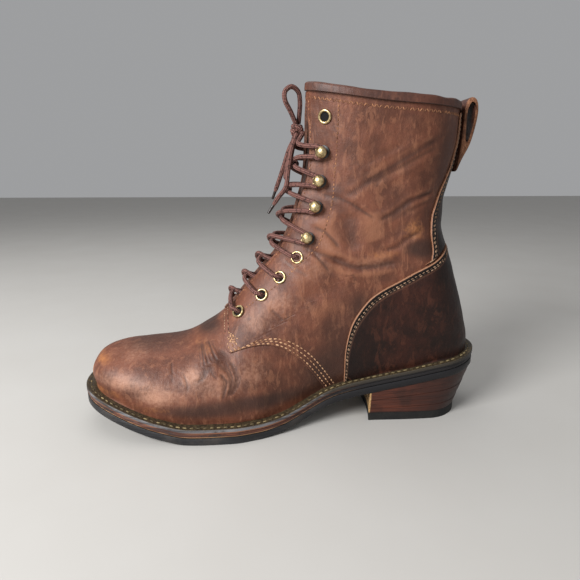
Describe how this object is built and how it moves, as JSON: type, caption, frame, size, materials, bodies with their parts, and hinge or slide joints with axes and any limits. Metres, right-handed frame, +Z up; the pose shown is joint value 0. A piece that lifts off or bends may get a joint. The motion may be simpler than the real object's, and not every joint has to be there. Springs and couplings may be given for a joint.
{
  "type": "logger boot",
  "caption": "Left lace-up leather work boot with a high stacked heel, welted sole, counter and pull loop, laced through eyelets and hooks.",
  "frame": {"origin": "middle of the sole outline, on the floor", "axes": "+X from toe to heel, -Y the outer (lateral) side of the left boot, +Z up"},
  "size_m": [0.315, 0.1108, 0.253],
  "materials": {
    "upper_leather": "oiled reddish-brown leather, scuffed",
    "counter_leather": "dark oiled leather with pale cut edges",
    "lining_leather": "bare veg-tanned leather",
    "welt_leather": "waxed, dusty edge",
    "midsole_leather": "waxed edge",
    "sole_rubber": "matt black rubber",
    "heel_rubber": "matt dark rubber",
    "heel_stack": "stacked leather, polished",
    "brass": "aged brass",
    "lace_cord": "round braided cord"
  },
  "bodies": {
    "root": {"outsole": "sole_rubber", "midsole": "midsole_leather", "welt": "welt_leather", "heel_lift_1": "heel_stack", "heel_lift_2": "heel_stack", "heel_lift_3": "heel_stack", "heel_lift_4": "heel_stack", "heel_lift_5": "heel_stack", "heel_cap": "heel_rubber", "insole": "lining_leather", "upper": "upper_leather", "counter": "counter_leather", "backstay": "counter_leather", "collar_binding": "upper_leather", "tongue": "upper_leather", "eyelet_1_lateral": "brass", "eyelet_1_medial": "brass", "eyelet_2_lateral": "brass", "eyelet_2_medial": "brass", "eyelet_3_lateral": "brass", "eyelet_3_medial": "brass", "eyelet_4_lateral": "brass", "eyelet_4_medial": "brass", "hook_1_lateral": "brass", "hook_1_medial": "brass", "hook_2_lateral": "brass", "hook_2_medial": "brass", "hook_3_lateral": "brass", "hook_3_medial": "brass", "hook_4_lateral": "brass", "hook_4_medial": "brass", "eyelet_5_lateral": "brass", "eyelet_5_medial": "brass", "lace_crossing_1": "lace_cord", "lace_crossing_2": "lace_cord", "lace_crossing_3": "lace_cord", "lace_crossing_4": "lace_cord", "lace_crossing_5": "lace_cord", "lace_crossing_6": "lace_cord", "lace_crossing_7": "lace_cord", "lace_crossing_8": "lace_cord", "lace_knot": "lace_cord", "lace_loop_up": "lace_cord", "lace_loop_down": "lace_cord", "lace_end_lateral": "lace_cord", "lace_end_medial": "lace_cord", "pull_loop": "counter_leather"}
  },
  "joints": []
}
